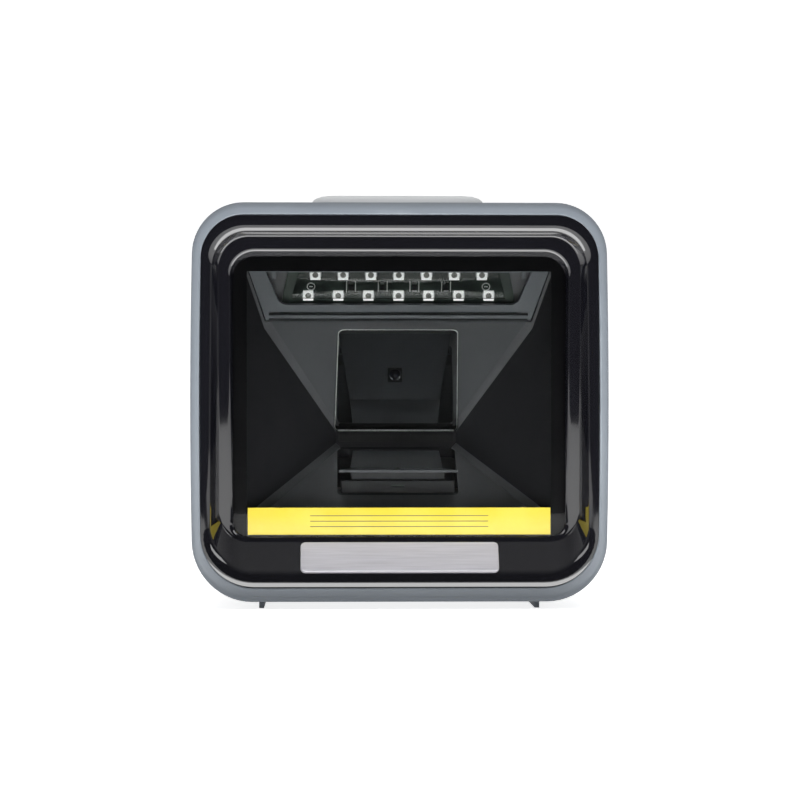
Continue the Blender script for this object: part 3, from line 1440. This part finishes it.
def build_status_light():
    low, high = box_of("light_pipe")
    x, y = (low.x + high.x) / 2, (low.y + high.y) / 2
    bm = bmesh.new()
    top = high.z - 0.02 * MM
    verts = rod(bm, (high.x - low.x) / 2, (x, y, low.z), (x, y, top), 32)
    rim = {edge for vert in verts for edge in vert.link_edges if all(v.co.z > top - 1e-6 for v in edge.verts)}
    fillet(bm, list(rim), 0.3 * MM, 4)
    return dress(finished("status_light", bm, stands_for=["light_pipe"]), "pipe_clear", pipe_plastic)


def build_rear_fittings():
    for side in SIDES:
        build_screw(f"case_screw_{side}", 1.4 * MM, True)
        build_screw(f"board_screw_{side}", 1.2 * MM, False)
        build_insert(f"mount_insert_{side}")
        build_rail(side)
    build_jack()
    build_label()
    build_status_light()


# ---------------------------------------------------------------- studio

CAMERA_DISTANCE = 0.9
CAMERA_ASIDE = 0.023
VIEW_WIDTH = 0.2667
SENSOR = 36.0
FLOOR_GLOW = (0.25, 0.8)  # to other rays, and to the camera


def add_camera():
    data = bpy.data.cameras.new("front view")
    camera = bpy.data.objects.new("front view", data)
    bpy.context.scene.collection.objects.link(camera)
    data.sensor_width = SENSOR
    data.lens = SENSOR * CAMERA_DISTANCE / VIEW_WIDTH
    data.clip_start = 0.01
    camera.location = (-CAMERA_ASIDE, FRONT - CAMERA_DISTANCE, (TOP + BASE) / 2 + 0.0007)
    camera.rotation_euler = (math.radians(90), 0, -math.atan2(CAMERA_ASIDE, CAMERA_DISTANCE))
    bpy.context.scene.camera = camera


def add_light(name, place_at, aim, size, power):
    data = bpy.data.lights.new(name, "AREA")
    data.shape = "RECTANGLE"
    data.size, data.size_y = size
    data.energy = power
    lamp = bpy.data.objects.new(name, data)
    bpy.context.scene.collection.objects.link(lamp)
    lamp.location = place_at
    lamp.rotation_euler = (Vector(aim) - Vector(place_at)).to_track_quat("-Z", "Y").to_euler()
    lamp.visible_camera = False
    return lamp


def add_floor():
    """A pale sweep: level under the scanner, curving up behind it."""
    bm = bmesh.new()
    half = 2.2
    front, bend, height, radius = FRONT - 0.74, 1.2, 2.4, 0.6
    line = [(front, 0.0), (bend, 0.0)]
    steps = 12
    for step in range(1, steps + 1):
        angle = step / steps * math.pi / 2
        line.append((bend + radius * math.sin(angle), radius * (1 - math.cos(angle))))
    line.append((bend + radius, height))
    verts = [bm.verts.new((-half, y, z)) for y, z in line]
    edges = [bm.edges.new(pair) for pair in zip(verts, verts[1:])]
    moved = bmesh.ops.extrude_edge_only(bm, edges=edges)["geom"]
    across = [item for item in moved if isinstance(item, bmesh.types.BMVert)]
    bmesh.ops.translate(bm, verts=across, vec=(2 * half, 0, 0))
    floor = finished("floor_sweep", bm, body=None)
    made, nodes, links, shader = bare_material("floor pale paper")
    where = nodes.new("ShaderNodeTexCoord").outputs["Object"]
    mottle = noise(nodes, links, 3, 2, where)
    level = remap(nodes, links, mottle, 0.3, 0.7, 0.93, 0.96)
    links.new(level, shader.inputs["Base Color"])
    shader.inputs["Roughness"].default_value = 0.8
    shader.inputs["Specular IOR Level"].default_value = 0.1
    shader.inputs["Emission Color"].default_value = (1, 1, 1, 1)
    seen = nodes.new("ShaderNodeLightPath").outputs["Is Camera Ray"]
    links.new(remap(nodes, links, seen, 0, 1, *FLOOR_GLOW), shader.inputs["Emission Strength"])
    floor.data.materials.append(made)


def light_the_room():
    """White to the camera. For other rays, bright behind the scanner and dim in front of it."""
    world = bpy.data.worlds.new("studio")
    bpy.context.scene.world = world
    world.use_nodes = True
    nodes, links = world.node_tree.nodes, world.node_tree.links
    seen = nodes["Background"]
    seen.inputs["Color"].default_value = (1, 1, 1, 1)
    direction = nodes.new("ShaderNodeSeparateXYZ")
    links.new(nodes.new("ShaderNodeTexCoord").outputs["Generated"], direction.inputs["Vector"])
    backness = remap(nodes, links, direction.outputs["Y"], -0.35, 0.5, 0.04, 1.0)
    from_above = remap(nodes, links, direction.outputs["Z"], 0.5, 1.0, 0.0, 0.3)
    lighting = nodes.new("ShaderNodeBackground")
    links.new(arithmetic(nodes, links, "ADD", backness, from_above), lighting.inputs["Strength"])
    path = nodes.new("ShaderNodeLightPath")
    chosen = nodes.new("ShaderNodeMixShader")
    links.new(path.outputs["Is Camera Ray"], chosen.inputs["Fac"])
    links.new(lighting.outputs["Background"], chosen.inputs[1])
    links.new(seen.outputs["Background"], chosen.inputs[2])
    links.new(chosen.outputs["Shader"], nodes["World Output"].inputs["Surface"])
    overhead = add_light("overhead", (0, -0.36, 0.85), (0, -0.06, 0.05), (0.8, 0.6), 6)
    overhead.visible_glossy = False
    low_fill = add_light("low fill", (0, -0.2, 0.004), (0, -0.2, 1), (0.5, 0.24), 1.7)
    low_fill.visible_glossy = False
    strip = add_light("low strip", (0, -0.115, 0.003), (0, -0.115, 1), (0.36, 0.11), 0.45)
    strip.visible_diffuse = False
    for name, x, power in (("front left", -0.7, 1.2), ("front right", 0.7, 1.5)):
        softbox = add_light(name, (x, -0.9, 0.55), (0, 0, 0.07), (0.35, 0.5), power)
        softbox.visible_diffuse = False
    bpy.context.scene.view_settings.view_transform = "Standard"


# ---------------------------------------------------------------- the whole scanner

dress_frame_nodes()
build_housing()
build_rear_pad()
build_bezel()
build_window_print()
build_strip()
build_plate()
build_hood()
build_hood_flange()
build_lights()
build_mirror()
build_camera()
build_camera_cover()
build_key()
build_rear_fittings()
add_camera()
add_floor()
light_the_room()
